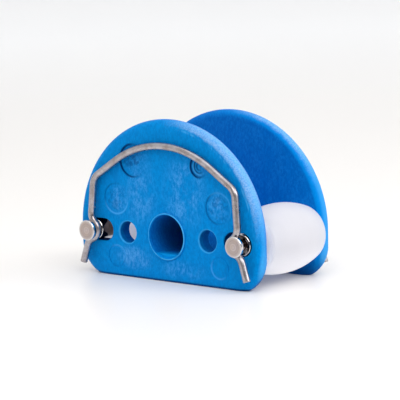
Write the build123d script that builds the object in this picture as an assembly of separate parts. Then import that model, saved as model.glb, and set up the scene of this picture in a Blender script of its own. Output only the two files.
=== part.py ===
from build123d import *
import math
import os

# Spring-loaded twin-roller guide block.
# Two D-shaped cheeks are spaced by a central hub. Two barrel rollers run on grooved axle
# pins that can slide inwards in the cheeks' slots. A wire spring clip on each outer face
# holds the pins by their grooves and presses them outwards.
#
# Frame: origin at the bottom centre, X across the block, Y along the axles (the front
# cheek is at -Y) and Z up. All sizes are in millimetres.

# Cheeks
cheek_width = 113.0
cheek_height = 78.0
cheek_thickness = 7.0
widest_height = 23.0
corner_radius = 17.0
edge_radius = 3.4
foot_cut = 1.6
slot_mouth_chamfer = 0.35
overall_over_cheeks = 55.0

# Axle pins, which lie forward in their end play. The stick-outs past the cheeks' outer faces
# are those of a centred pin, whose groove starts just inside the face.
axle_x = 45.9
axle_z = 22.0
axle_radius = 5.0
axle_stick_out = 6.2
axle_forward = 0.7
axle_travel = 6.0
shoulder_stick_out = -0.2
head_thickness = 1.6
neck_radius = 2.5
head_chamfer = 0.3
groove_chamfer = 0.2

# Slots that guide the pins
slot_height = 11.0
slot_end_gap = 0.3

# Central hub: a thick middle seated in both cheeks, spigots that pass through them and
# stand a little proud, and a D-shaped bore whose flat stops short of the ends
hub_radius = 15.0
hub_seat_depth = 2.0
hub_clearance = 0.05
spigot_radius = 11.4
spigot_stick_out = 0.8
spigot_edge_radius = 0.35
bore_radius = 10.5
bore_mouth_chamfer = 0.3
bore_flat_drop = 8.5
bore_flat_recess = 1.2

# Small through holes
side_hole_x = 25.0
side_hole_radius = 5.25
side_hole_mouth_chamfer = 0.45

# Barrel rollers, each hanging on its pin by a loose bore
roller_radius = 16.75
roller_end_radius = 13.2
roller_length = 40.0
roller_edge_radius = 1.2
roller_bore_clearance = 0.8
roller_sag = 0.7
roller_bore_chamfer = 0.6

# Wire spring clips: each lies in a plane that goes from the arch, close to the cheek, to the
# grooves of the pins, and the front one leans out with the pins, which lie forward. Headings
# and angles are in degrees in that plane.
wire_radius = 1.75
wire_neck_gap = 0.1
clip_y_at_arch = 29.35
front_clip_y_at_pins = 30.75
rear_clip_y_at_pins = 29.35
clip_rise = 43.65
clip_arch_radius = 55.0
clip_flank_heading = -33.0
clip_corner_radius = 6.5
clip_leg_heading = -85.0
clip_entry_angle = 128.0
clip_entry_radius = 6.0
clip_exit_angle = 252.0
clip_exit_radius = 6.0
clip_tail_heading = -72.0
clip_tail_length = 8.8
clip_end_chamfer = 0.25

# Round witness marks of the mould on a cheek's outer face:
# x, z, radius, depth of the sunk disc (0 for none) and radii of its fine rings
mould_marks = (
    (-20.7, 57.3, 8.1, 0.55, ()),
    (20.7, 57.0, 5.3, 0.5, (1.6, 3.1, 4.4)),
    (-31.9, 38.0, 7.4, 0.2, ()),
    (31.9, 38.0, 7.4, 0.2, ()),
    (-32.2, 9.8, 5.2, 0.0, (5.2,)),
    (32.2, 9.8, 5.2, 0.0, (5.2,)),
)
ring_width = 0.45
ring_depth = 0.18

# Worked out from the sizes above
outer_face_y = overall_over_cheeks / 2
inner_face_y = outer_face_y - cheek_thickness
shoulder_y = outer_face_y + shoulder_stick_out
axle_end_y = outer_face_y + axle_stick_out
wrap_radius = neck_radius + wire_neck_gap + wire_radius
slot_outer_x = axle_x + axle_radius + slot_end_gap
slot_inner_x = axle_x - axle_travel - axle_radius - slot_end_gap

front_face = Plane(origin=(0, -outer_face_y, 0), x_dir=(1, 0, 0), z_dir=(0, -1, 0))
inner_face = front_face.offset(-cheek_thickness)
axle_plane = Plane(origin=(0, 0, axle_z), x_dir=(1, 0, 0), z_dir=(0, -1, 0))


def cheek_blank():
    """The D with its edges rounded all the way round, cut off flat at the foot."""
    dome = Pos(0, widest_height) * Ellipse(cheek_width / 2, cheek_height - widest_height)
    above = Pos(0, widest_height + cheek_height / 2) * Rectangle(2 * cheek_width, cheek_height)
    skirt_height = widest_height + foot_cut
    skirt = Pos(0, widest_height - skirt_height / 2) * Rectangle(cheek_width, skirt_height)
    skirt = fillet(skirt.vertices().group_by(Axis.Y)[0], corner_radius)
    blank = extrude(inner_face * (skirt + (dome & above)), cheek_thickness)
    faces = blank.faces().filter_by(Axis.Y)
    rims = faces[0].outer_wire().edges() + faces[1].outer_wire().edges()
    return split(fillet(rims, edge_radius), bisect_by=Plane.XY, keep=Keep.TOP)


def slot_outline(x_low, x_high, height):
    """A round-ended slot between two x values, centred on the axle height."""
    length = x_high - x_low
    return Pos((x_low + x_high) / 2, axle_z) * SlotOverall(length, height)


def d_bore_outline():
    """The hub's round bore with a flat across its lower side."""
    flat_cut = Pos(0, axle_z - bore_flat_drop - bore_radius) * Rectangle(
        3 * bore_radius, 2 * bore_radius
    )
    return Pos(0, axle_z) * Circle(bore_radius) - flat_cut


def through_cut(outline, mouth_chamfer):
    """A cut right through the front cheek with a chamfered mouth on the outer face."""
    cut = extrude(inner_face.offset(-1) * outline, cheek_thickness + 2)
    mouth = extrude(
        front_face * offset(outline, mouth_chamfer),
        -mouth_chamfer,
        taper=45,
    )
    return cut + mouth


def mould_mark_cut(x, z, radius, depth, rings):
    """The shallow cut of one witness mark in the outer face."""
    cut = []
    if depth:
        cut.append(extrude(front_face * Pos(x, z) * Circle(radius), -depth))
    for ring in rings:
        band = Circle(ring + ring_width / 2) - Circle(ring - ring_width / 2)
        cut.append(extrude(front_face * Pos(x, z) * band, -depth - ring_depth))
    return cut


def front_cheek():
    """One moulded cheek, with its outer face towards -Y."""
    cheek = cheek_blank()
    for x_low, x_high in ((slot_inner_x, slot_outer_x), (-slot_outer_x, -slot_inner_x)):
        cheek -= through_cut(slot_outline(x_low, x_high, slot_height), slot_mouth_chamfer)
    for x in (-side_hole_x, side_hole_x):
        hole = Pos(x, axle_z) * Circle(side_hole_radius)
        cheek -= through_cut(hole, side_hole_mouth_chamfer)
    spigot_hole = Pos(0, axle_z) * Circle(spigot_radius + hub_clearance)
    cheek -= extrude(inner_face.offset(-1) * spigot_hole, cheek_thickness + 2)
    seat = Pos(0, axle_z) * Circle(hub_radius + hub_clearance)
    cheek -= extrude(inner_face * seat, hub_seat_depth)
    for mark in mould_marks:
        cheek -= mould_mark_cut(*mark)
    return cheek


def d_outline():
    """The hub's round bore with a flat across its lower side, centred on the bore."""
    below_flat = Pos(0, -bore_flat_drop - bore_radius) * Rectangle(3 * bore_radius, 2 * bore_radius)
    return Circle(bore_radius) - below_flat


def centre_hub():
    """The stepped spacer tube between the cheeks, bored right through."""
    spigot_end = outer_face_y + spigot_stick_out
    flat_end = spigot_end - bore_flat_recess
    middle = Cylinder(hub_radius, 2 * (inner_face_y + hub_seat_depth))
    spigots = Cylinder(spigot_radius, 2 * spigot_end)
    ends = spigots.edges().group_by(Axis.Z)
    hub = middle + fillet(ends[0] + ends[-1], spigot_edge_radius)
    hub -= extrude(d_outline(), spigot_end, both=True)
    for way in (-1, 1):
        hub -= Pos(0, 0, way * (flat_end + spigot_end) / 2) * Cylinder(bore_radius, bore_flat_recess)
    mouths = hub.edges().filter_by(GeomType.CIRCLE).group_by(Axis.Z)
    inner = [edge for edge in mouths[0] + mouths[-1] if edge.radius < bore_radius + hub_clearance]
    return axle_plane * chamfer(inner, bore_mouth_chamfer)


def axle_pin(x):
    """A turned pin with a groove behind the head at each end."""
    head_inner = axle_end_y - head_thickness
    half = [
        (0, axle_end_y),
        (axle_radius - head_chamfer, axle_end_y),
        (axle_radius, axle_end_y - head_chamfer),
        (axle_radius, head_inner + groove_chamfer),
        (axle_radius - groove_chamfer, head_inner),
        (neck_radius, head_inner),
        (neck_radius, shoulder_y),
        (axle_radius - groove_chamfer, shoulder_y),
        (axle_radius, shoulder_y - groove_chamfer),
    ]
    profile = half + [(r, -y) for r, y in reversed(half)]
    turned = revolve(make_face(Polyline(*profile, close=True)), Axis.Y)
    return Pos(x, -axle_forward, axle_z) * turned


def roller(x):
    """A barrel roller, crowned along its length, whose loose plain bore hangs on its pin."""
    bore = axle_radius + roller_bore_clearance
    end = roller_length / 2
    crown = ThreePointArc((roller_end_radius, -end), (roller_radius, 0), (roller_end_radius, end))
    mouth = bore + roller_bore_chamfer
    inside = Polyline(
        (roller_end_radius, end),
        (mouth, end),
        (bore, end - roller_bore_chamfer),
        (bore, -end + roller_bore_chamfer),
        (mouth, -end),
        (roller_end_radius, -end),
    )
    profile = make_face(Curve() + [crown, inside])
    rims = profile.vertices().group_by(Axis.X)[-1]
    return Pos(x, 0, axle_z - roller_sag) * revolve(fillet(rims, roller_edge_radius), Axis.Y)


def heading(degrees):
    """A unit vector in the clip's plane."""
    angle = math.radians(degrees)
    return Vector(math.cos(angle), math.sin(angle))


def left_of(degrees):
    """The unit vector a quarter turn to the left of a heading."""
    return heading(degrees + 90)


def clip_arc(centre, start, end):
    """The shorter arc about centre from start to end."""
    radius = (start - centre).length
    middle = centre + ((start - centre) + (end - centre)).normalized() * radius
    return ThreePointArc(start, middle, end)


def clip_path():
    """The centre line of a clip in its own plane, from the left tail to the right tail.

    The plane's origin is level with the pins' axes, and y runs up the clip.
    """
    axle = Vector(axle_x, 0)
    flank = heading(clip_flank_heading)
    leg = heading(clip_leg_heading)
    arch_centre = Vector(0, clip_rise - clip_arch_radius)
    flank_start = arch_centre + left_of(clip_flank_heading) * clip_arch_radius
    wrap_start = axle + heading(clip_entry_angle) * wrap_radius
    wrap_end = axle + heading(clip_exit_angle) * wrap_radius
    entry_centre = axle + heading(clip_entry_angle) * (wrap_radius + clip_entry_radius)
    exit_centre = axle + heading(clip_exit_angle) * (wrap_radius + clip_exit_radius)
    leg_end = entry_centre + left_of(clip_leg_heading) * clip_entry_radius
    tail_start = exit_centre + left_of(clip_tail_heading) * clip_exit_radius
    tail_end = tail_start + heading(clip_tail_heading) * clip_tail_length

    # The flank and the leg would meet at a point, which a corner arc rounds off.
    run = (leg_end - flank_start).cross(leg).Z / flank.cross(leg).Z
    meeting_point = flank_start + flank * run
    turn = math.radians(clip_flank_heading - clip_leg_heading)
    trim = clip_corner_radius * math.tan(turn / 2)
    flank_end = meeting_point - flank * trim
    leg_start = meeting_point + leg * trim
    corner_centre = flank_end - left_of(clip_flank_heading) * clip_corner_radius

    half = Curve() + [
        Line(flank_start, flank_end),
        clip_arc(corner_centre, flank_end, leg_start),
        Line(leg_start, leg_end),
        clip_arc(entry_centre, leg_end, wrap_start),
        clip_arc(axle, wrap_start, wrap_end),
        clip_arc(exit_centre, wrap_end, tail_start),
        Line(tail_start, tail_end),
    ]
    arch = ThreePointArc(Vector(-flank_start.X, flank_start.Y), Vector(0, clip_rise), flank_start)
    return (half + mirror(half, about=Plane.YZ) + arch).wire()


def spring_clip(y_at_pins):
    """A clip on the front cheek: one bent wire whose tails point down and outwards."""
    lean = math.asin((y_at_pins - clip_y_at_arch) / clip_rise)
    outwards = (0, -math.cos(lean), math.sin(lean))
    clip_plane = Plane(origin=(0, -y_at_pins, axle_z), x_dir=(1, 0, 0), z_dir=outwards)
    path = clip_plane * clip_path()
    section = Plane(origin=path @ 0, z_dir=path % 0) * Circle(wire_radius)
    wire = sweep(section, path=path)
    ends = wire.faces().filter_by(GeomType.PLANE)
    return chamfer(ends.edges(), clip_end_chamfer)


def build_nodes():
    """Every piece of the block by its node name."""
    cheek = front_cheek()
    half_turn = Rot(0, 0, 180)
    return {
        "front_cheek": cheek,
        "rear_cheek": half_turn * cheek,
        "centre_hub": centre_hub(),
        "left_roller": roller(-axle_x),
        "right_roller": roller(axle_x),
        "left_axle_pin": axle_pin(-axle_x),
        "right_axle_pin": axle_pin(axle_x),
        "front_spring_clip": spring_clip(front_clip_y_at_pins),
        "rear_spring_clip": half_turn * spring_clip(rear_clip_y_at_pins),
    }


os.makedirs("parts", exist_ok=True)
for name, shape in build_nodes().items():
    export_step(shape, os.path.join("parts", name + ".step"))
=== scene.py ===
import math

import bmesh
import bpy
from mathutils import Matrix, Vector


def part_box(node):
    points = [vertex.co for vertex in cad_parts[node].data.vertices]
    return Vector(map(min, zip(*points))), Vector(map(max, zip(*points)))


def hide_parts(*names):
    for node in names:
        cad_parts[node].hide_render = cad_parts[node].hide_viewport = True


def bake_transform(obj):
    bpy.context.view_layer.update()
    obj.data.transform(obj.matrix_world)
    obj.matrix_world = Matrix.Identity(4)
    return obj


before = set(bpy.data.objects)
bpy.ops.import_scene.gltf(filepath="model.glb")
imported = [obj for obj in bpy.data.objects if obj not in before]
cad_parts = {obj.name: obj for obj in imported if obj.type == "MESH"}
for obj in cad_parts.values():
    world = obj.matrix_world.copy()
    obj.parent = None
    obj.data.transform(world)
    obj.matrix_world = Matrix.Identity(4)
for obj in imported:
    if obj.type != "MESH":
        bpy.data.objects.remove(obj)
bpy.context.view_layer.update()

# Everything below is in metres and degrees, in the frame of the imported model: X across the
# block, Y along the axles with the front cheek at -Y, Z up, and the floor at z = 0.

MM = 0.001

# Camera: it aims at a point in the middle of the block from its front right.
AIM = (-4.93 * MM, 3.63 * MM, 35.18 * MM)
CAMERA_AZIMUTH = 39.84
CAMERA_ELEVATION = 8.617
CAMERA_ROLL = -1.44
CAMERA_DISTANCE = 1.0493
CAMERA_LENS = 193.3
CAMERA_SENSOR_WIDTH = 36.0

# Softboxes, all this far from the middle of the block: name, azimuth, elevation, width and
# height in metres, and power in watts
SOFTBOX_DISTANCE = 1.6
SOFTBOXES = (
    ("key_softbox", 52, 42, (1.3, 1.0), 12.0),
    ("top_softbox", 20, 80, (1.4, 1.4), 4.5),
    ("side_softbox", 105, 30, (0.9, 0.9), 8.0),
)

# The studio's soft light, which grows from the horizon up to this height on a unit sphere
HORIZON_STRENGTH = 0.80
ZENITH_STRENGTH = 0.86
ZENITH_HEIGHT = 0.9

# The unlit part of the studio, which the metal mirrors as a dark core, and how much of the
# soft light is left there
DARK_PATCH_AZIMUTH = 45.0
DARK_PATCH_ELEVATION = 12.0
DARK_PATCH_SPREAD = 65.0
DARK_PATCH_SHARE = 0.12

# The floor's sweep, and the faint glow of its backdrop, which grows with the distance
# behind the block
FLOOR_HALF_WIDTH = 4.0
FLOOR_FRONT = -3.0
FLOOR_BEND_START = 1.6
FLOOR_BEND_RADIUS = 1.0
FLOOR_BEND_STEPS = 12
FLOOR_TOP = 4.0
BACKDROP_GLOW_START = 0.3
BACKDROP_GLOW_END = 1.8
BACKDROP_GLOW_STRENGTH = 0.2

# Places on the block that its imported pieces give
CHEEK_LOW, CHEEK_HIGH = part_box("rear_cheek")
PIN_LOW, PIN_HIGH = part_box("right_axle_pin")
INNER_FACE_Y = CHEEK_LOW.y
OUTER_FACE_Y = CHEEK_HIGH.y
DOME_HALF_WIDTH = CHEEK_HIGH.x
AXLE_X = (PIN_LOW.x + PIN_HIGH.x) / 2
AXLE_Z = (PIN_LOW.z + PIN_HIGH.z) / 2
AXLE_FORWARD = -(PIN_LOW.y + PIN_HIGH.y) / 2
AXLE_END_Y = (PIN_HIGH.y - PIN_LOW.y) / 2

# Its other sizes, as in the CAD model: a cheek's domed edge is half an ellipse, the bore has
# a flat below its centre, and each pin has a neck between its shoulder and its head.
DOME_BASE_Z = 23.0 * MM
DOME_HEIGHT = 55.0 * MM
BORE_RADIUS = 10.5 * MM
BORE_FLAT_DROP = 8.5 * MM
SIDE_HOLE_X = 25.0 * MM
SIDE_HOLE_RADIUS = 5.25 * MM
SLOT_INNER_X = 34.6 * MM
SLOT_HALF_HEIGHT = 5.5 * MM
SHOULDER_Y = 27.3 * MM
NECK_RADIUS = 2.5 * MM
PIN_RADIUS = 5.0 * MM

# Rims of the round marks on a cheek's outer face: x, z, radius, how dark the painted shade on
# the rim's left is, how light its painted light is, and the direction in degrees of its lightest
# part
MARKS = (
    (-20.7 * MM, 57.3 * MM, 8.0 * MM, 0.9, 0.0, 0),
    (20.7 * MM, 57.0 * MM, 5.2 * MM, 0.95, 0.3, 45),
    (20.7 * MM, 57.0 * MM, 3.9 * MM, 0.0, 0.6, 225),
    (20.7 * MM, 57.0 * MM, 3.1 * MM, 0.85, 0.3, 45),
    (20.7 * MM, 57.0 * MM, 1.6 * MM, 0.6, 0.5, 45),
    (-31.9 * MM, 38.0 * MM, 7.4 * MM, 0.3, 0.75, -80),
    (31.9 * MM, 38.0 * MM, 7.4 * MM, 0.4, 0.45, 45),
    (-32.2 * MM, 9.8 * MM, 5.2 * MM, 0.0, 0.8, 45),
    (32.2 * MM, 9.8 * MM, 5.2 * MM, 0.0, 0.8, 225),
)

# Where dark specks gather on the outer face: x, z, radius and how much
SPECKLED_DISCS = (
    (-22.0 * MM, 59.0 * MM, 6.5 * MM, 0.55),
    (20.7 * MM, 57.0 * MM, 5.2 * MM, 0.25),
    (-32.5 * MM, 38.0 * MM, 6.0 * MM, 0.3),
    (31.9 * MM, 38.0 * MM, 7.0 * MM, 0.3),
)

# Where the outer face is worn pale: x, z, half width, half height and how much
WORN_PATCHES = (
    (-17.0 * MM, 41.0 * MM, 11.0 * MM, 14.0 * MM, 0.8),
    (11.5 * MM, 44.0 * MM, 13.0 * MM, 17.0 * MM, 0.85),
    (-30.0 * MM, 37.0 * MM, 7.0 * MM, 8.0 * MM, 0.8),
    (32.0 * MM, 38.0 * MM, 7.0 * MM, 8.0 * MM, 0.7),
    (-20.0 * MM, 10.0 * MM, 14.0 * MM, 6.0 * MM, 1.0),
    (10.0 * MM, 6.5 * MM, 15.0 * MM, 4.5 * MM, 0.6),
    (-19.0 * MM, 56.0 * MM, 11.0 * MM, 8.0 * MM, 0.4),
    (22.0 * MM, 57.0 * MM, 6.0 * MM, 5.0 * MM, 0.3),
)

# Spring clips, the same bends as the CAD wire. Each lies in a plane that goes from the arch to
# the pins' grooves, with its origin level with the pins' axes. The right half runs from the
# top of the arch down a straight flank, round a corner into a leg, round the inward side of
# the pin's neck, and out along a tail. Headings and angles turn from +X towards the top.
WIRE_RADIUS = 1.75 * MM
WIRE_NECK_GAP = 0.1 * MM
WRAP_RADIUS = NECK_RADIUS + WIRE_NECK_GAP + WIRE_RADIUS
CLIP_Y_AT_ARCH = 29.35 * MM
FRONT_CLIP_Y_AT_PINS = 30.75 * MM
REAR_CLIP_Y_AT_PINS = 29.35 * MM
CLIP_RISE = 43.65 * MM
ARCH_RADIUS = 55.0 * MM
FLANK_HEADING = -33.0
CORNER_RADIUS = 6.5 * MM
LEG_HEADING = -85.0
ENTRY_ANGLE = 128.0
ENTRY_RADIUS = 6.0 * MM
EXIT_ANGLE = 252.0
EXIT_RADIUS = 6.0 * MM
TAIL_HEADING = -72.0
TAIL_LENGTH = 8.8 * MM

# The wire's mesh: its sides, the step between its rings, a ring just after its start that
# keeps the shading smooth from one half to the other, and the chamfer at its end
WIRE_SIDES = 24
STEP_LENGTH = 0.6 * MM
START_RING = 0.02 * MM
END_CHAMFER = 0.25 * MM


def rgb(red, green, blue):
    return (red, green, blue, 1.0)


# Colours, in linear light; a pair is what a texture varies between
SHADED_INNER_BLUES = rgb(0.0, 0.15, 0.56), rgb(0.0, 0.185, 0.63)
OUTER_BLUES = rgb(0.0, 0.208, 0.615), rgb(0.0, 0.272, 0.72)
SCUFF_BLUE = rgb(0.15, 0.44, 0.88)
INNER_CLOUD_BLUE = rgb(0.02, 0.30, 0.78)
FROST_HIGHLIGHT_BLUE = rgb(0.29, 0.50, 0.83)
REAR_RIM_LIGHT_BLUE = rgb(0.0, 0.30, 0.82)
RIGHT_EDGE_LIGHT_BLUE = rgb(0.12, 0.50, 0.90)
CREST_HIGHLIGHT_BLUE = rgb(0.10, 0.48, 0.92)
FOOT_SHADE = rgb(0.0, 0.02, 0.13)
SPECK_DIRT = rgb(0.0, 0.05, 0.25)
MARK_RIM_SHADE = rgb(0.0, 0.03, 0.16)
MARK_RIM_LIGHT_BLUE = rgb(0.06, 0.42, 0.90)
BURR_BLUE = rgb(0.09, 0.54, 0.98)
HOLE_SHADE = rgb(0.0, 0.008, 0.09)
LIT_FLAT_BLUE = rgb(0.0, 0.36, 0.84)
GLOSS_BLUE = rgb(0.1, 0.5, 1.0)
ROLLER_WHITES = rgb(0.50, 0.50, 0.545), rgb(0.53, 0.53, 0.57)
ROLLER_PAINTED_GLOW_TONE = rgb(0.97, 0.97, 1.0)
SHADED_SHANK_STEELS = rgb(0.10, 0.08, 0.075), rgb(0.17, 0.135, 0.125)
HEAD_STEEL = rgb(0.75, 0.73, 0.73)
END_STEELS = rgb(0.36, 0.30, 0.29), rgb(0.60, 0.53, 0.53)
END_BROWN = rgb(0.55, 0.44, 0.37)
END_RIM_STEEL = rgb(0.64, 0.62, 0.62)
GROOVE_SHADE_GLINT_STEELS = rgb(0.05, 0.035, 0.03), rgb(0.85, 0.80, 0.78)
WIRE_STEELS = rgb(0.33, 0.285, 0.28), rgb(0.50, 0.48, 0.51)
FLOOR_WHITES = rgb(0.93, 0.905, 0.88), rgb(0.95, 0.925, 0.90)
BACKDROP_GLOW_TONE = rgb(0.80, 0.89, 1.0)
PLAIN_WHITE = rgb(1.0, 1.0, 1.0)


# ---------------------------------------------------------------- node and mesh helpers


class Graph:
    """A short way to write the nodes of a material or of the world."""

    def __init__(self, owner, shader="Principled BSDF", coordinates="Object"):
        owner.use_nodes = True
        self.owner = owner
        self.tree = owner.node_tree
        self.shader = self.tree.nodes[shader]
        self.place = self.add("ShaderNodeTexCoord").outputs[coordinates]

    def add(self, kind, **settings):
        node = self.tree.nodes.new(kind)
        for key, value in settings.items():
            setattr(node, key, value)
        return node

    def link(self, source, target):
        self.tree.links.new(source, target)

    def feed(self, socket, value):
        """Links the socket to another node's output, or sets it to a plain value."""
        if hasattr(value, "is_output"):
            self.link(value, socket)
        else:
            socket.default_value = value

    def noise(self, scale, detail=2.0, roughness=0.5, place=None):
        node = self.add("ShaderNodeTexNoise")
        self.link(place or self.place, node.inputs["Vector"])
        node.inputs["Scale"].default_value = scale
        node.inputs["Detail"].default_value = detail
        node.inputs["Roughness"].default_value = roughness
        return node.outputs["Fac"]

    def ramp(self, value, low, high, to_low=0.0, to_high=1.0):
        """The value eased from one range to another, and held beyond its ends."""
        node = self.add("ShaderNodeMapRange", interpolation_type="SMOOTHSTEP")
        self.feed(node.inputs["Value"], value)
        node.inputs["From Min"].default_value = low
        node.inputs["From Max"].default_value = high
        node.inputs["To Min"].default_value = to_low
        node.inputs["To Max"].default_value = to_high
        return node.outputs["Result"]

    def maths(self, operation, a, b=0.0, c=0.0):
        node = self.add("ShaderNodeMath", operation=operation)
        for socket, value in zip(node.inputs, (a, b, c)):
            self.feed(socket, value)
        return node.outputs["Value"]

    def mix(self, factor, a, b):
        """Colour a where the factor is 0 and colour b where it is 1."""
        # A Mix node has sockets for each kind of data: 6 and 7 are the colours, and output 2.
        node = self.add("ShaderNodeMix", data_type="RGBA")
        for key, value in ((0, factor), (6, a), (7, b)):
            self.feed(node.inputs[key], value)
        return node.outputs[2]

    def cover(self, tone, colour, *masks):
        """The tone, covered by the colour where all masks are 1; a number thins it."""
        return self.mix(self.product(*masks), tone, colour)

    def split(self, vector):
        node = self.add("ShaderNodeSeparateXYZ")
        self.link(vector, node.inputs[0])
        return node.outputs["X"], node.outputs["Y"], node.outputs["Z"]

    def stretched(self, x, y, z):
        """The place, scaled along each axis: under 1 draws a texture out that way."""
        node = self.add("ShaderNodeMapping")
        self.link(self.place, node.inputs["Vector"])
        node.inputs["Scale"].default_value = (x, y, z)
        return node.outputs["Vector"]

    def product(self, *masks):
        total = masks[0]
        for mask in masks[1:]:
            total = self.maths("MULTIPLY", total, mask)
        return total

    def opposite(self, mask):
        """1 where the mask is 0, and 0 where it is 1."""
        return self.maths("SUBTRACT", 1.0, mask)

    def inside(self, value, limit, softness):
        """1 where value is under limit, 0 beyond it."""
        return self.ramp(value, limit - softness, limit + softness, 1.0, 0.0)

    def beyond(self, value, limit, softness):
        """1 where value is over limit, 0 before it."""
        return self.ramp(value, limit - softness, limit + softness)

    def distance(self, x, z, centre_x=0.0, centre_z=0.0):
        across = self.maths("SUBTRACT", x, centre_x)
        up = self.maths("SUBTRACT", z, centre_z)
        square = self.maths("MULTIPLY_ADD", across, across, self.maths("MULTIPLY", up, up))
        return self.maths("SQRT", square)

    def band(self, value, middle, half_width):
        """1 at the middle of a narrow band of values, falling to 0 at its edges."""
        off = self.maths("ABSOLUTE", self.maths("SUBTRACT", value, middle))
        return self.ramp(off, 0.0, half_width, 1.0, 0.0)

    def bump(self, height, depth, strength):
        node = self.add("ShaderNodeBump")
        node.inputs["Distance"].default_value = depth
        node.inputs["Strength"].default_value = strength
        self.feed(node.inputs["Height"], height)
        self.link(node.outputs["Normal"], self.shader.inputs["Normal"])

    def set(self, **values):
        """Feeds the shader's sockets, named with _ for each space."""
        for key, value in values.items():
            self.feed(self.shader.inputs[key.replace("_", " ")], value)


def add_object(name, mesh):
    data = bpy.data.meshes.new(name)
    bmesh.ops.recalc_face_normals(mesh, faces=mesh.faces)
    mesh.to_mesh(data)
    mesh.free()
    made = bpy.data.objects.new(name, data)
    bpy.context.scene.collection.objects.link(made)
    return made


# ---------------------------------------------------------------- camera, stage and light


def direction(azimuth, elevation):
    """The unit vector towards a place seen at that azimuth and elevation; azimuth 0 is -Y."""
    a, e = math.radians(azimuth), math.radians(elevation)
    return Vector((math.sin(a) * math.cos(e), -math.cos(a) * math.cos(e), math.sin(e)))


def facing_block(azimuth, elevation, distance):
    """The matrix of a camera or lamp that stands there and looks at the block's middle."""
    back = direction(azimuth, elevation)
    spot = Matrix.Translation(Vector(AIM) + back * distance)
    return spot @ (-back).to_track_quat("-Z", "Y").to_matrix().to_4x4()


def add_camera():
    data = bpy.data.cameras.new("camera")
    camera = bpy.data.objects.new("camera", data)
    bpy.context.scene.collection.objects.link(camera)
    data.lens = CAMERA_LENS
    data.sensor_width = CAMERA_SENSOR_WIDTH
    data.clip_start = 0.01
    data.clip_end = 20.0
    roll = Matrix.Rotation(math.radians(CAMERA_ROLL), 4, "Z")
    upright = facing_block(CAMERA_AZIMUTH, CAMERA_ELEVATION, CAMERA_DISTANCE)
    camera.matrix_world = upright @ roll
    bpy.context.scene.camera = camera


def add_softbox(name, azimuth, elevation, size, power):
    data = bpy.data.lights.new(name, "AREA")
    data.shape = "RECTANGLE"
    data.size, data.size_y = size
    data.energy = power
    lamp = bpy.data.objects.new(name, data)
    bpy.context.scene.collection.objects.link(lamp)
    lamp.matrix_world = facing_block(azimuth, elevation, SOFTBOX_DISTANCE)


def add_world():
    """Soft light from all round and above, with a darker patch behind the camera."""
    world = bpy.data.worlds.new("world")
    g = Graph(world, "Background", "Generated")
    _, _, up = g.split(g.place)
    sky = g.ramp(up, 0.0, ZENITH_HEIGHT, HORIZON_STRENGTH, ZENITH_STRENGTH)
    towards = g.add("ShaderNodeVectorMath", operation="DOT_PRODUCT")
    g.link(g.place, towards.inputs[0])
    towards.inputs[1].default_value = direction(DARK_PATCH_AZIMUTH, DARK_PATCH_ELEVATION)
    patch_edge = math.cos(math.radians(DARK_PATCH_SPREAD))
    share = g.ramp(towards.outputs["Value"], patch_edge, 1.0, 1.0, DARK_PATCH_SHARE)
    g.set(Color=PLAIN_WHITE, Strength=g.product(sky, share))
    bpy.context.scene.world = world


def floor_material():
    g = Graph(bpy.data.materials.new("floor_white"))
    tone = g.mix(g.noise(1.5), *FLOOR_WHITES)
    g.set(Base_Color=tone, Roughness=0.3, Specular_IOR_Level=0.3)
    _, back, _ = g.split(g.place)
    near, far = BACKDROP_GLOW_START, BACKDROP_GLOW_END
    glow = g.ramp(back, near, far, 0.0, BACKDROP_GLOW_STRENGTH)
    g.set(Emission_Color=BACKDROP_GLOW_TONE, Emission_Strength=glow)
    return g.owner


def add_floor():
    """A pale sweep: a flat floor that curves up into a backdrop behind the block."""
    profile = [(FLOOR_FRONT, 0.0), (FLOOR_BEND_START, 0.0)]
    for i in range(1, FLOOR_BEND_STEPS + 1):
        turn = math.radians(90 * i / FLOOR_BEND_STEPS)
        y = FLOOR_BEND_START + FLOOR_BEND_RADIUS * math.sin(turn)
        profile.append((y, FLOOR_BEND_RADIUS * (1 - math.cos(turn))))
    profile.append((FLOOR_BEND_START + FLOOR_BEND_RADIUS, FLOOR_TOP))
    mesh = bmesh.new()
    left, right = [
        [mesh.verts.new((x, y, z)) for y, z in profile]
        for x in (-FLOOR_HALF_WIDTH, FLOOR_HALF_WIDTH)
    ]
    for i in range(len(profile) - 1):
        mesh.faces.new((left[i], right[i], right[i + 1], left[i + 1])).smooth = True
    floor = add_object("floor", mesh)
    floor.rotation_euler[2] = math.radians(CAMERA_AZIMUTH)
    floor.data.materials.append(floor_material())


# ---------------------------------------------------------------- blue plastic


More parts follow.
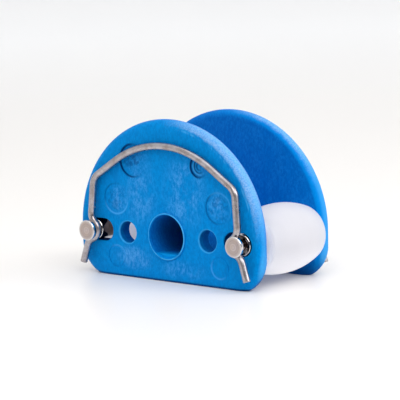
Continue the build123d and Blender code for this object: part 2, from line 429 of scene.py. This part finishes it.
class BlockMap:
    """Places and textures that several layers of the blue plastic use."""

    def __init__(self, g):
        self.x, self.y, self.z = g.split(g.place)
        self.out = g.maths("ABSOLUTE", self.y)
        # Both cheeks are the same moulding, so this runs the other way on the rear one.
        facing = g.product(g.maths("SIGN", self.y), -1.0)
        self.own_x = g.product(self.x, facing)

        side_x = g.maths("ABSOLUTE", self.x)
        self.from_bore = g.distance(self.x, self.z, 0.0, AXLE_Z)
        self.from_hole = g.distance(side_x, self.z, SIDE_HOLE_X, AXLE_Z)
        self.in_bore = g.inside(self.from_bore, BORE_RADIUS + 0.15 * MM, 0.1 * MM)
        self.in_hole = g.inside(self.from_hole, SIDE_HOLE_RADIUS + 0.15 * MM, 0.1 * MM)

        # 1 all along a cheek's domed edge, and less inside it
        across = g.maths("DIVIDE", self.x, DOME_HALF_WIDTH)
        up = g.maths("DIVIDE", g.maths("SUBTRACT", self.z, DOME_BASE_Z), DOME_HEIGHT)
        self.level = g.distance(across, up)

        from_axle = g.maths("ABSOLUTE", g.maths("SUBTRACT", self.z, AXLE_Z))
        self.in_slot = g.product(
            g.inside(from_axle, SLOT_HALF_HEIGHT + 0.2 * MM, 0.1 * MM),
            g.beyond(side_x, SLOT_INNER_X - 0.3 * MM, 0.1 * MM),
            g.beyond(self.out, INNER_FACE_Y + 0.3 * MM, 0.2 * MM),
            g.inside(self.level, 0.93, 0.01),
        )

        # Outside is the outer half of a cheek's thickness without the bore.
        outer_half = g.beyond(self.out, INNER_FACE_Y + 4 * MM, 1 * MM)
        self.outside = g.product(outer_half, g.opposite(self.in_bore))
        self.within = g.opposite(self.outside)
        self.on_face = g.beyond(self.out, OUTER_FACE_Y - 0.9 * MM, 0.2 * MM)
        self.below_face = g.inside(self.out, OUTER_FACE_Y - 0.6 * MM, 0.3 * MM)

        # Fine grain, broader clouds and upright streaks, each taller than it is wide
        grain_place = g.stretched(1.0, 1.0, 0.6)
        cloud_place = g.stretched(1.0, 1.0, 0.7)
        streak_place = g.stretched(1.0, 1.0, 0.16)
        self.grain = g.ramp(g.noise(1000.0, 3.0, 0.75, grain_place), 0.38, 0.64)
        self.cloud = g.ramp(g.noise(130.0, 5.0, 0.7, cloud_place), 0.36, 0.62)
        self.streak = g.ramp(g.noise(420.0, 3.0, 0.6, streak_place), 0.42, 0.7)


def worn_places(g, at):
    """How worn the outer face is, from 0 to 1."""
    total = 0.0
    for patch_x, patch_z, half_width, half_height, amount in WORN_PATCHES:
        across = g.maths("DIVIDE", g.maths("SUBTRACT", at.own_x, patch_x), half_width)
        up = g.maths("DIVIDE", g.maths("SUBTRACT", at.z, patch_z), half_height)
        worn = g.ramp(g.distance(across, up), 0.3, 1.25, amount, 0.0)
        total = g.maths("MAXIMUM", total, worn)
    return total


def mark_rims(g, at):
    """How much painted shade darkens the marks' rims on their left, and how much painted light
    lightens them.
    """
    dark, light = 0.0, 0.0
    for mark_x, mark_z, radius, darkness, lightness, light_heading in MARKS:
        rim = g.band(g.distance(at.own_x, at.z, mark_x, mark_z), radius, 0.85 * MM)
        # Painted shade: the rim is darker on its left.
        if darkness:
            left = g.ramp(at.own_x, mark_x - 0.9 * radius, mark_x + radius, darkness, 0.0)
            dark = g.maths("MULTIPLY_ADD", rim, left, dark)
        if lightness:
            # The painted light on the rim is lightest where the slant, measured along the
            # heading, is greatest.
            along_x = math.cos(math.radians(light_heading))
            along_z = math.sin(math.radians(light_heading))
            slant = g.maths("MULTIPLY_ADD", at.own_x, along_x, g.product(at.z, along_z))
            middle = mark_x * along_x + mark_z * along_z
            side = g.ramp(slant, middle - 0.2 * radius, middle + 0.9 * radius, 0.0, lightness)
            light = g.maths("MULTIPLY_ADD", rim, side, light)
    return dark, light


def dark_specks(g, at):
    """Fine dark specks, in the discs where they gather."""
    total = 0.0
    for disc_x, disc_z, radius, amount in SPECKLED_DISCS:
        off = g.distance(at.own_x, at.z, disc_x, disc_z)
        total = g.maths("MAXIMUM", total, g.ramp(off, 0.7 * radius, 1.1 * radius, amount, 0.0))
    return g.product(total, g.ramp(g.noise(380.0, 3.0, 0.65), 0.46, 0.6))


def moulded_tone(g, at):
    """The mottled plastic, darker between the cheeks with painted shade, with pale scuffs where
    it is worn.
    """
    # Painted shade: the tones between the cheeks are darker than the outer ones.
    shaded_inner_tone = g.mix(at.grain, *SHADED_INNER_BLUES)
    outer_tone = g.mix(at.grain, *OUTER_BLUES)
    tone = g.mix(at.outside, shaded_inner_tone, outer_tone)
    streaky_grain = g.maths("MULTIPLY_ADD", at.streak, 0.4, at.grain)
    worn = worn_places(g, at)
    tone = g.cover(tone, SCUFF_BLUE, streaky_grain, at.cloud, at.outside, worn, 0.45)
    return g.cover(tone, INNER_CLOUD_BLUE, at.cloud, at.grain, at.within, 0.2)


def add_rim_highlights(g, at, tone):
    """The rounded rim: a painted highlight, with some frosting from handling, on its right
    shoulder, and painted light and highlights along its right-hand edges.
    """
    # The painted highlight's edge wavers, and lies further out on the inward half of the rim.
    inward = g.inside(at.out, INNER_FACE_Y + 3.2 * MM, 1.2 * MM)
    rough_level = g.maths("MULTIPLY_ADD", g.noise(260.0, 4.0, 0.65), 0.04, at.level)
    rim = g.beyond(g.maths("MULTIPLY_ADD", inward, -0.03, rough_level), 0.975, 0.014)
    # It reaches lower down on the front cheek than on the rear one.
    height = g.maths("MULTIPLY_ADD", at.y, -0.35, at.z)
    shoulder = g.product(g.beyond(at.x, 9 * MM, 13 * MM), g.beyond(height, 44 * MM, 14 * MM))
    # Painted highlight: a speckled pale blue where the light falls on the rim's right shoulder.
    frost_highlight = g.product(rim, shoulder, g.ramp(g.noise(1500.0, 2.0, 0.6), 0.35, 0.65, 0.4, 1.0))
    tone = g.cover(tone, FROST_HIGHLIGHT_BLUE, frost_highlight, 0.75)

    # Painted light: the rear cheek's rounded rim is paler on its right-hand side.
    rounding = g.product(g.beyond(at.level, 0.955, 0.012), g.opposite(frost_highlight))
    rear_right = g.product(g.beyond(at.x, 0.0, 20 * MM), g.beyond(at.y, 0.0, 5 * MM))
    tone = g.cover(tone, REAR_RIM_LIGHT_BLUE, rounding, rear_right, 0.45)
    # Painted light: a paler line along the rim's outermost edge on the right-hand side.
    outer_edge = g.beyond(at.level, 0.995, 0.012)
    tone = g.cover(tone, RIGHT_EDGE_LIGHT_BLUE, outer_edge, g.beyond(at.x, 15 * MM, 20 * MM), 0.35)
    # Painted highlight: a streaky pale line where the outer face meets the rim, on the right
    # shoulder.
    crest_highlight = g.band(at.level, 0.935, 0.016)
    return g.cover(tone, CREST_HIGHLIGHT_BLUE, crest_highlight, shoulder, at.streak, at.on_face, 0.6)


def add_shade_and_specks(g, at, tone):
    """Painted shade along the foot and higher up on the inner faces, and dark specks, painted
    shade and painted light in the round marks.
    """
    # Painted shade: a dark line along the outer foot, and darker towards the bottom between the
    # cheeks.
    foot = g.product(g.ramp(at.z, 0.3 * MM, 1.6 * MM, 0.9, 0.0), at.outside)
    inner_foot = g.product(g.ramp(at.z, 1 * MM, 12 * MM, 0.65, 0.0), at.within)
    tone = g.cover(tone, FOOT_SHADE, g.maths("MAXIMUM", foot, inner_foot))
    dark, light = mark_rims(g, at)
    tone = g.cover(tone, SPECK_DIRT, dark_specks(g, at), at.outside)
    # Painted shade on the left of the marks' rims.
    tone = g.cover(tone, MARK_RIM_SHADE, dark, at.outside)
    # Painted light on the lit side of the marks' rims.
    return g.cover(tone, MARK_RIM_LIGHT_BLUE, light, at.on_face)


def add_hole_tones(g, at, tone):
    """Burrs round the bore and the side holes, painted shade inside them and the slots, and
    painted light on the bore's flat, paler towards its mouths.
    """
    burr = g.product(
        g.band(at.from_bore, BORE_RADIUS + 0.6 * MM, 0.42 * MM),
        g.beyond(at.out, OUTER_FACE_Y + 0.4 * MM, 0.1 * MM),
        g.ramp(g.noise(260.0), 0.35, 0.6, 0.5, 1.0),
    )
    hole_rim = g.band(at.from_hole, SIDE_HOLE_RADIUS + 0.3 * MM, 0.6 * MM)
    hole_edge = g.product(hole_rim, at.on_face)
    tone = g.cover(tone, BURR_BLUE, g.maths("MULTIPLY_ADD", hole_edge, 0.4, burr), 0.85)

    # Painted shade: darker deeper in the bore, more on its +X side, and in the side holes and
    # the slots.
    deep = g.ramp(at.out, OUTER_FACE_Y - 1 * MM, OUTER_FACE_Y - 14 * MM, 0.15, 0.75)
    deep_bore = g.product(at.in_bore, deep, g.ramp(at.x, -9 * MM, 4 * MM, 0.7, 1.0))
    hollow_shade = g.maths("MAXIMUM", g.product(at.in_hole, 0.5), deep_bore)
    hollow_shade = g.maths("MAXIMUM", hollow_shade, at.in_slot)
    tone = g.cover(tone, HOLE_SHADE, hollow_shade, at.below_face, 0.9)
    # Painted light: the bore's upward-facing flat is paler near its mouths.
    on_flat = g.inside(at.z, AXLE_Z - BORE_FLAT_DROP + 0.2 * MM, 0.15 * MM)
    near_mouth = g.ramp(at.out, 20 * MM, 27 * MM)
    return g.cover(tone, LIT_FLAT_BLUE, at.in_bore, on_flat, near_mouth, 0.6)


def blue_plastic():
    """Moulded blue plastic: mottled, scuffed and dark-specked outside, smoother between the
    cheeks, with painted shade and painted highlights.
    """
    g = Graph(bpy.data.materials.new("blue_moulded_plastic"))
    at = BlockMap(g)
    tone = moulded_tone(g, at)
    tone = add_rim_highlights(g, at, tone)
    tone = add_shade_and_specks(g, at, tone)
    tone = add_hole_tones(g, at, tone)

    any_hole = g.maths("MAXIMUM", g.maths("MAXIMUM", at.in_bore, at.in_hole), at.in_slot)
    hollow = g.product(any_hole, at.below_face)
    roughness = g.maths("MULTIPLY_ADD", hollow, 0.35, g.ramp(at.cloud, 0.0, 1.0, 0.48, 0.6))
    g.set(Base_Color=tone, Roughness=roughness)
    g.set(Specular_IOR_Level=0.1, Specular_Tint=GLOSS_BLUE)
    height = g.maths("MULTIPLY_ADD", at.streak, 0.5, g.noise(1300.0, 2.0))
    g.bump(g.product(height, at.outside), 0.00005, 0.6)
    return g.owner


# ---------------------------------------------------------------- white plastic and steel


def white_plastic():
    """Turned white plastic with a painted glow: an emission, standing in for light carried
    through the plastic, keeps it pale where it is hemmed in.
    """
    g = Graph(bpy.data.materials.new("white_roller_plastic"))
    turned = g.noise(500.0, 3.0, 0.6, g.stretched(0.05, 1.0, 0.05))
    tone = g.mix(g.product(turned, g.noise(60.0)), *ROLLER_WHITES)
    g.set(Base_Color=tone, Roughness=0.45, Specular_IOR_Level=0.25)
    g.set(Subsurface_Weight=1.0, Subsurface_Scale=0.03, Subsurface_Radius=(1.0, 1.0, 1.0))
    # Painted light: an emission that grows where the ambient occlusion is low.
    open_round = g.add("ShaderNodeAmbientOcclusion", samples=8)
    open_round.inputs["Distance"].default_value = 40 * MM
    glow = g.ramp(open_round.outputs["AO"], 0.25, 0.8, 0.3, 0.09)
    g.set(Emission_Color=ROLLER_PAINTED_GLOW_TONE, Emission_Strength=glow)
    g.bump(turned, 0.00002, 0.5)
    return g.owner


def turned_steel():
    """Pins: a polished shank in painted shade, bright heads with turning rings, and a groove in
    painted shade with painted glints.
    """
    g = Graph(bpy.data.materials.new("turned_pin_steel"))
    x, y, z = g.split(g.place)
    out = g.maths("ABSOLUTE", g.maths("ADD", y, AXLE_FORWARD))
    radius = g.distance(g.maths("ABSOLUTE", x), z, AXLE_X, AXLE_Z)
    on_end = g.beyond(out, AXLE_END_Y - 0.1 * MM, 0.05 * MM)
    outside_neck = g.beyond(radius, NECK_RADIUS + 0.2 * MM, 0.1 * MM)
    inside_rim = PIN_RADIUS - 0.7 * MM

    rings = g.add("ShaderNodeTexNoise", noise_dimensions="1D")
    g.link(radius, rings.inputs["W"])
    rings.inputs["Scale"].default_value = 1100.0
    rings.inputs["Detail"].default_value = 3.0
    turning = g.ramp(rings.outputs["Fac"], 0.3, 0.7)
    blotch = g.ramp(g.noise(450.0, 4.0, 0.6), 0.3, 0.7)

    # Painted shade: the shank, seen only through the slots, gets very dark steel tones.
    shank = g.mix(blotch, *SHADED_SHANK_STEELS)
    near_head = g.beyond(out, SHOULDER_Y - 0.5 * MM, 0.1 * MM)
    shank = g.cover(shank, HEAD_STEEL, near_head, outside_neck)
    end_tone = g.mix(turning, *END_STEELS)
    end_tone = g.cover(end_tone, END_BROWN, blotch, 0.55)
    end_tone = g.cover(end_tone, END_RIM_STEEL, g.beyond(radius, inside_rim, 0.2 * MM))
    tone = g.mix(on_end, shank, end_tone)

    # The step down to the neck, in painted shade with a few painted glints
    in_groove = g.product(
        g.beyond(out, SHOULDER_Y - 0.1 * MM, 0.05 * MM),
        g.inside(out, SHOULDER_Y + 0.3 * MM, 0.1 * MM),
        g.inside(radius, inside_rim, 0.15 * MM),
        outside_neck,
    )
    painted_glint = g.ramp(g.noise(260.0, 1.0, 0.5), 0.48, 0.6)
    tone = g.mix(in_groove, tone, g.mix(painted_glint, *GROOVE_SHADE_GLINT_STEELS))
    dull = g.maths("MAXIMUM", on_end, g.product(in_groove, painted_glint))
    g.set(Base_Color=tone, Metallic=1.0, Roughness=g.ramp(dull, 0.0, 1.0, 0.14, 0.45))
    g.bump(g.product(turning, on_end), 0.00002, 0.5)
    return g.owner


def wire_steel():
    """Drawn spring wire with a dull, slightly brown skin."""
    g = Graph(bpy.data.materials.new("drawn_wire_steel"))
    tone = g.mix(g.ramp(g.noise(300.0, 5.0, 0.65), 0.3, 0.7), *WIRE_STEELS)
    g.set(Base_Color=tone, Metallic=1.0, Roughness=g.ramp(g.noise(120.0), 0.3, 0.7, 0.26, 0.33))
    g.bump(g.noise(150.0), 0.00002, 0.3)
    return g.owner


# ---------------------------------------------------------------- spring clips


def heading(degrees):
    return Vector((math.cos(math.radians(degrees)), math.sin(math.radians(degrees))))


def arc_points(centre, radius, first, last):
    """Points round an arc between two angles in degrees, without the first one."""
    length = radius * math.radians(abs(last - first))
    count = max(4, round(length / STEP_LENGTH))
    return [
        centre + heading(first + (last - first) * i / count) * radius
        for i in range(1, count + 1)
    ]


def line_points(start, end):
    """Points along a straight run, without the first one."""
    count = max(2, round((end - start).length / STEP_LENGTH))
    return [start.lerp(end, i / count) for i in range(1, count + 1)]


def half_clip_line():
    """The right half of a clip's centre line in its own plane, from the top of the arch."""
    axle = Vector((AXLE_X, 0.0))
    flank, leg = heading(FLANK_HEADING), heading(LEG_HEADING)
    arch_centre = Vector((0.0, CLIP_RISE - ARCH_RADIUS))
    flank_start = arch_centre + heading(FLANK_HEADING + 90) * ARCH_RADIUS
    entry_centre = axle + heading(ENTRY_ANGLE) * (WRAP_RADIUS + ENTRY_RADIUS)
    exit_centre = axle + heading(EXIT_ANGLE) * (WRAP_RADIUS + EXIT_RADIUS)
    leg_end = entry_centre + heading(LEG_HEADING + 90) * ENTRY_RADIUS

    # The flank and the leg would meet at a point, which a corner arc rounds off.
    gap = leg_end - flank_start
    run = (gap.x * leg.y - gap.y * leg.x) / (flank.x * leg.y - flank.y * leg.x)
    trim = CORNER_RADIUS * math.tan(math.radians(FLANK_HEADING - LEG_HEADING) / 2)
    flank_end = flank_start + flank * (run - trim)
    leg_start = flank_start + flank * run + leg * trim
    corner_centre = flank_end - heading(FLANK_HEADING + 90) * CORNER_RADIUS

    points = [Vector((0.0, CLIP_RISE))]
    points += arc_points(arch_centre, ARCH_RADIUS, 90, FLANK_HEADING + 90)
    points += line_points(flank_start, flank_end)
    points += arc_points(corner_centre, CORNER_RADIUS, FLANK_HEADING + 90, LEG_HEADING + 90)
    points += line_points(leg_start, leg_end)
    points += arc_points(entry_centre, ENTRY_RADIUS, LEG_HEADING + 90, ENTRY_ANGLE - 180)
    points += arc_points(axle, WRAP_RADIUS, ENTRY_ANGLE, EXIT_ANGLE)
    points += arc_points(exit_centre, EXIT_RADIUS, EXIT_ANGLE - 180, TAIL_HEADING + 90)
    tail_start = points[-1]
    points += line_points(tail_start, tail_start + heading(TAIL_HEADING) * TAIL_LENGTH)
    return points


def place_on_clip(point, side, y_at_arch, y_at_pins):
    """Where a point of the clip's plane is; side is -1 for the left half and 1 for the right."""
    lean = math.asin((y_at_arch - y_at_pins) / CLIP_RISE)
    y = y_at_pins + point.y * math.sin(lean)
    return Vector((side * point.x, y, AXLE_Z + point.y * math.cos(lean)))


def wire_piece(name, points):
    """A round wire along the points, square to the block's middle plane where it starts
    and chamfered where it ends.
    """
    start_way = (points[1] - points[0]).normalized()
    end_way = (points[-1] - points[-2]).normalized()
    across = (points[1] - points[0]).cross(points[-1] - points[0]).normalized()
    near_start = points[0] + start_way * START_RING
    near_end = points[-1] - end_way * END_CHAMFER
    points = [points[0], near_start] + points[1:-1] + [near_end, points[-1]]
    mirrored_start = Vector((-near_start.x, near_start.y, near_start.z))
    points_before = [mirrored_start] + points[:-1]
    points_after = points[1:] + [points[-1]]
    radii = [WIRE_RADIUS] * (len(points) - 1) + [WIRE_RADIUS - END_CHAMFER]
    mesh = bmesh.new()
    rings = []
    for point, before, after, radius in zip(points, points_before, points_after, radii):
        side = (after - before).normalized().cross(across)
        ring = []
        for k in range(WIRE_SIDES):
            turn = 2 * math.pi * k / WIRE_SIDES
            offset = side * math.cos(turn) + across * math.sin(turn)
            ring.append(mesh.verts.new(point + offset * radius))
        rings.append(ring)
    for near, far in zip(rings, rings[1:]):
        for k in range(WIRE_SIDES):
            j = (k + 1) % WIRE_SIDES
            mesh.faces.new((near[k], near[j], far[j], far[k])).smooth = True
    mesh.faces.new(rings[0])
    mesh.faces.new(rings[-1])
    return add_object(name, mesh)


def add_clip(node, y_at_arch, y_at_pins, material):
    """One clip as two halves that meet at the top, one half for each pin."""
    line = half_clip_line()
    for word, side in (("left", -1), ("right", 1)):
        points = [place_on_clip(point, side, y_at_arch, y_at_pins) for point in line]
        piece = wire_piece(f"{node}_{word}_half", points)
        piece.data.materials.append(material)
        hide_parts(node)
        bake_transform(piece)


# ---------------------------------------------------------------- the scene


def paint(node, material):
    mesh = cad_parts[node].data
    mesh.materials.clear()
    mesh.materials.append(material)


add_camera()
add_floor()
add_world()
for softbox in SOFTBOXES:
    add_softbox(*softbox)
bpy.context.scene.view_settings.view_transform = "Standard"

blue, white, steel, wire = blue_plastic(), white_plastic(), turned_steel(), wire_steel()
for node in ("front_cheek", "rear_cheek", "centre_hub"):
    paint(node, blue)
for side in ("left", "right"):
    paint(f"{side}_roller", white)
    paint(f"{side}_axle_pin", steel)
add_clip("front_spring_clip", -CLIP_Y_AT_ARCH, -FRONT_CLIP_Y_AT_PINS, wire)
add_clip("rear_spring_clip", CLIP_Y_AT_ARCH, REAR_CLIP_Y_AT_PINS, wire)
